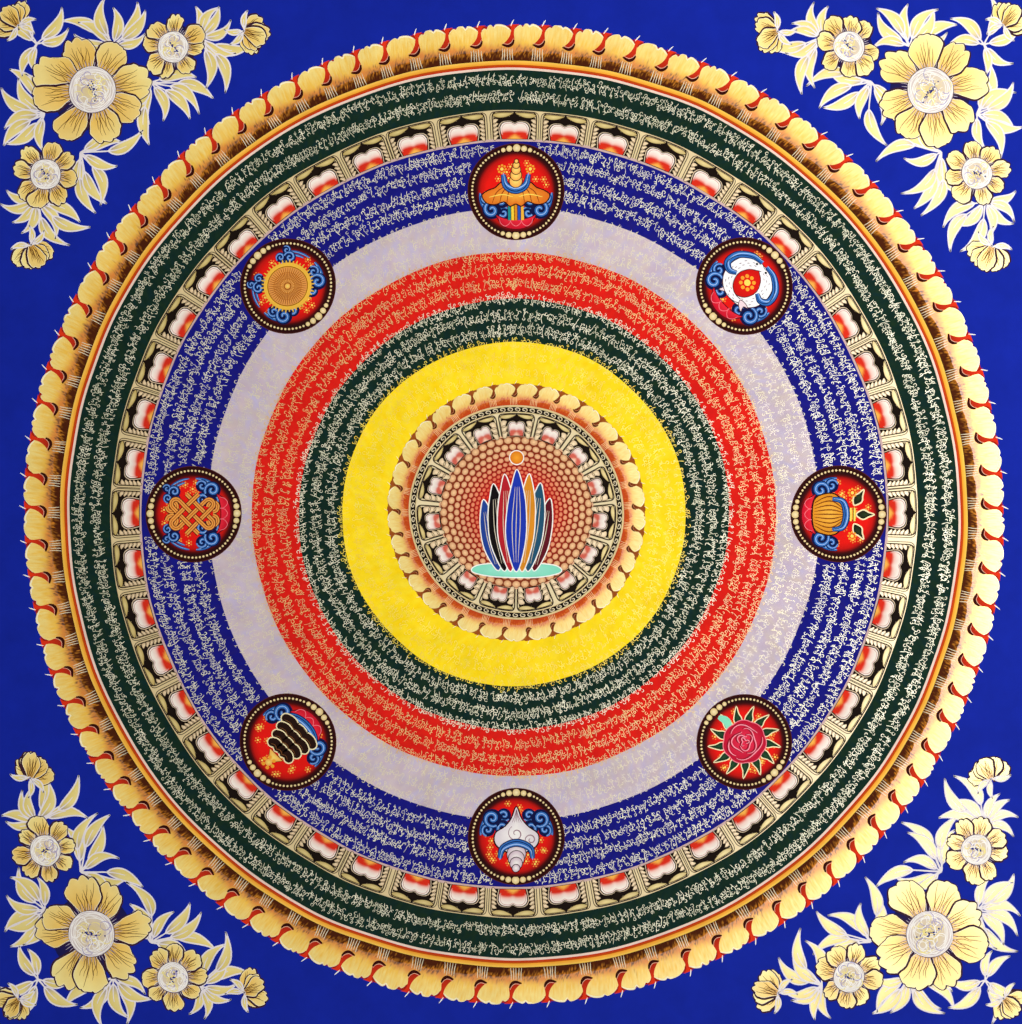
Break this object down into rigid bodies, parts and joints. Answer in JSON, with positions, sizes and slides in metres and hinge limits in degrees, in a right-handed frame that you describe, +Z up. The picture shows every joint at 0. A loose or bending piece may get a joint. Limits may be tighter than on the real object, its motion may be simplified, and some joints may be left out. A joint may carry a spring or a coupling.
{
  "type": "unmounted thangka painting on square canvas",
  "caption": "Flat square painted cotton canvas with a ringed mandala, roundels and corner flower sprays on its face and bare cotton on its back.",
  "frame": {"origin": "middle of the back face, on the surface that the canvas lies on", "axes": "+Z up out of the painted face, +Y towards the picture's top edge, +X towards its right edge"},
  "size_m": [0.7, 0.7, 0.0012],
  "materials": {
    "painted_cotton": "matte mineral colours and gold paint on primed cotton"
  },
  "bodies": {
    "root": {"painted_canvas": "painted_cotton"}
  },
  "joints": []
}
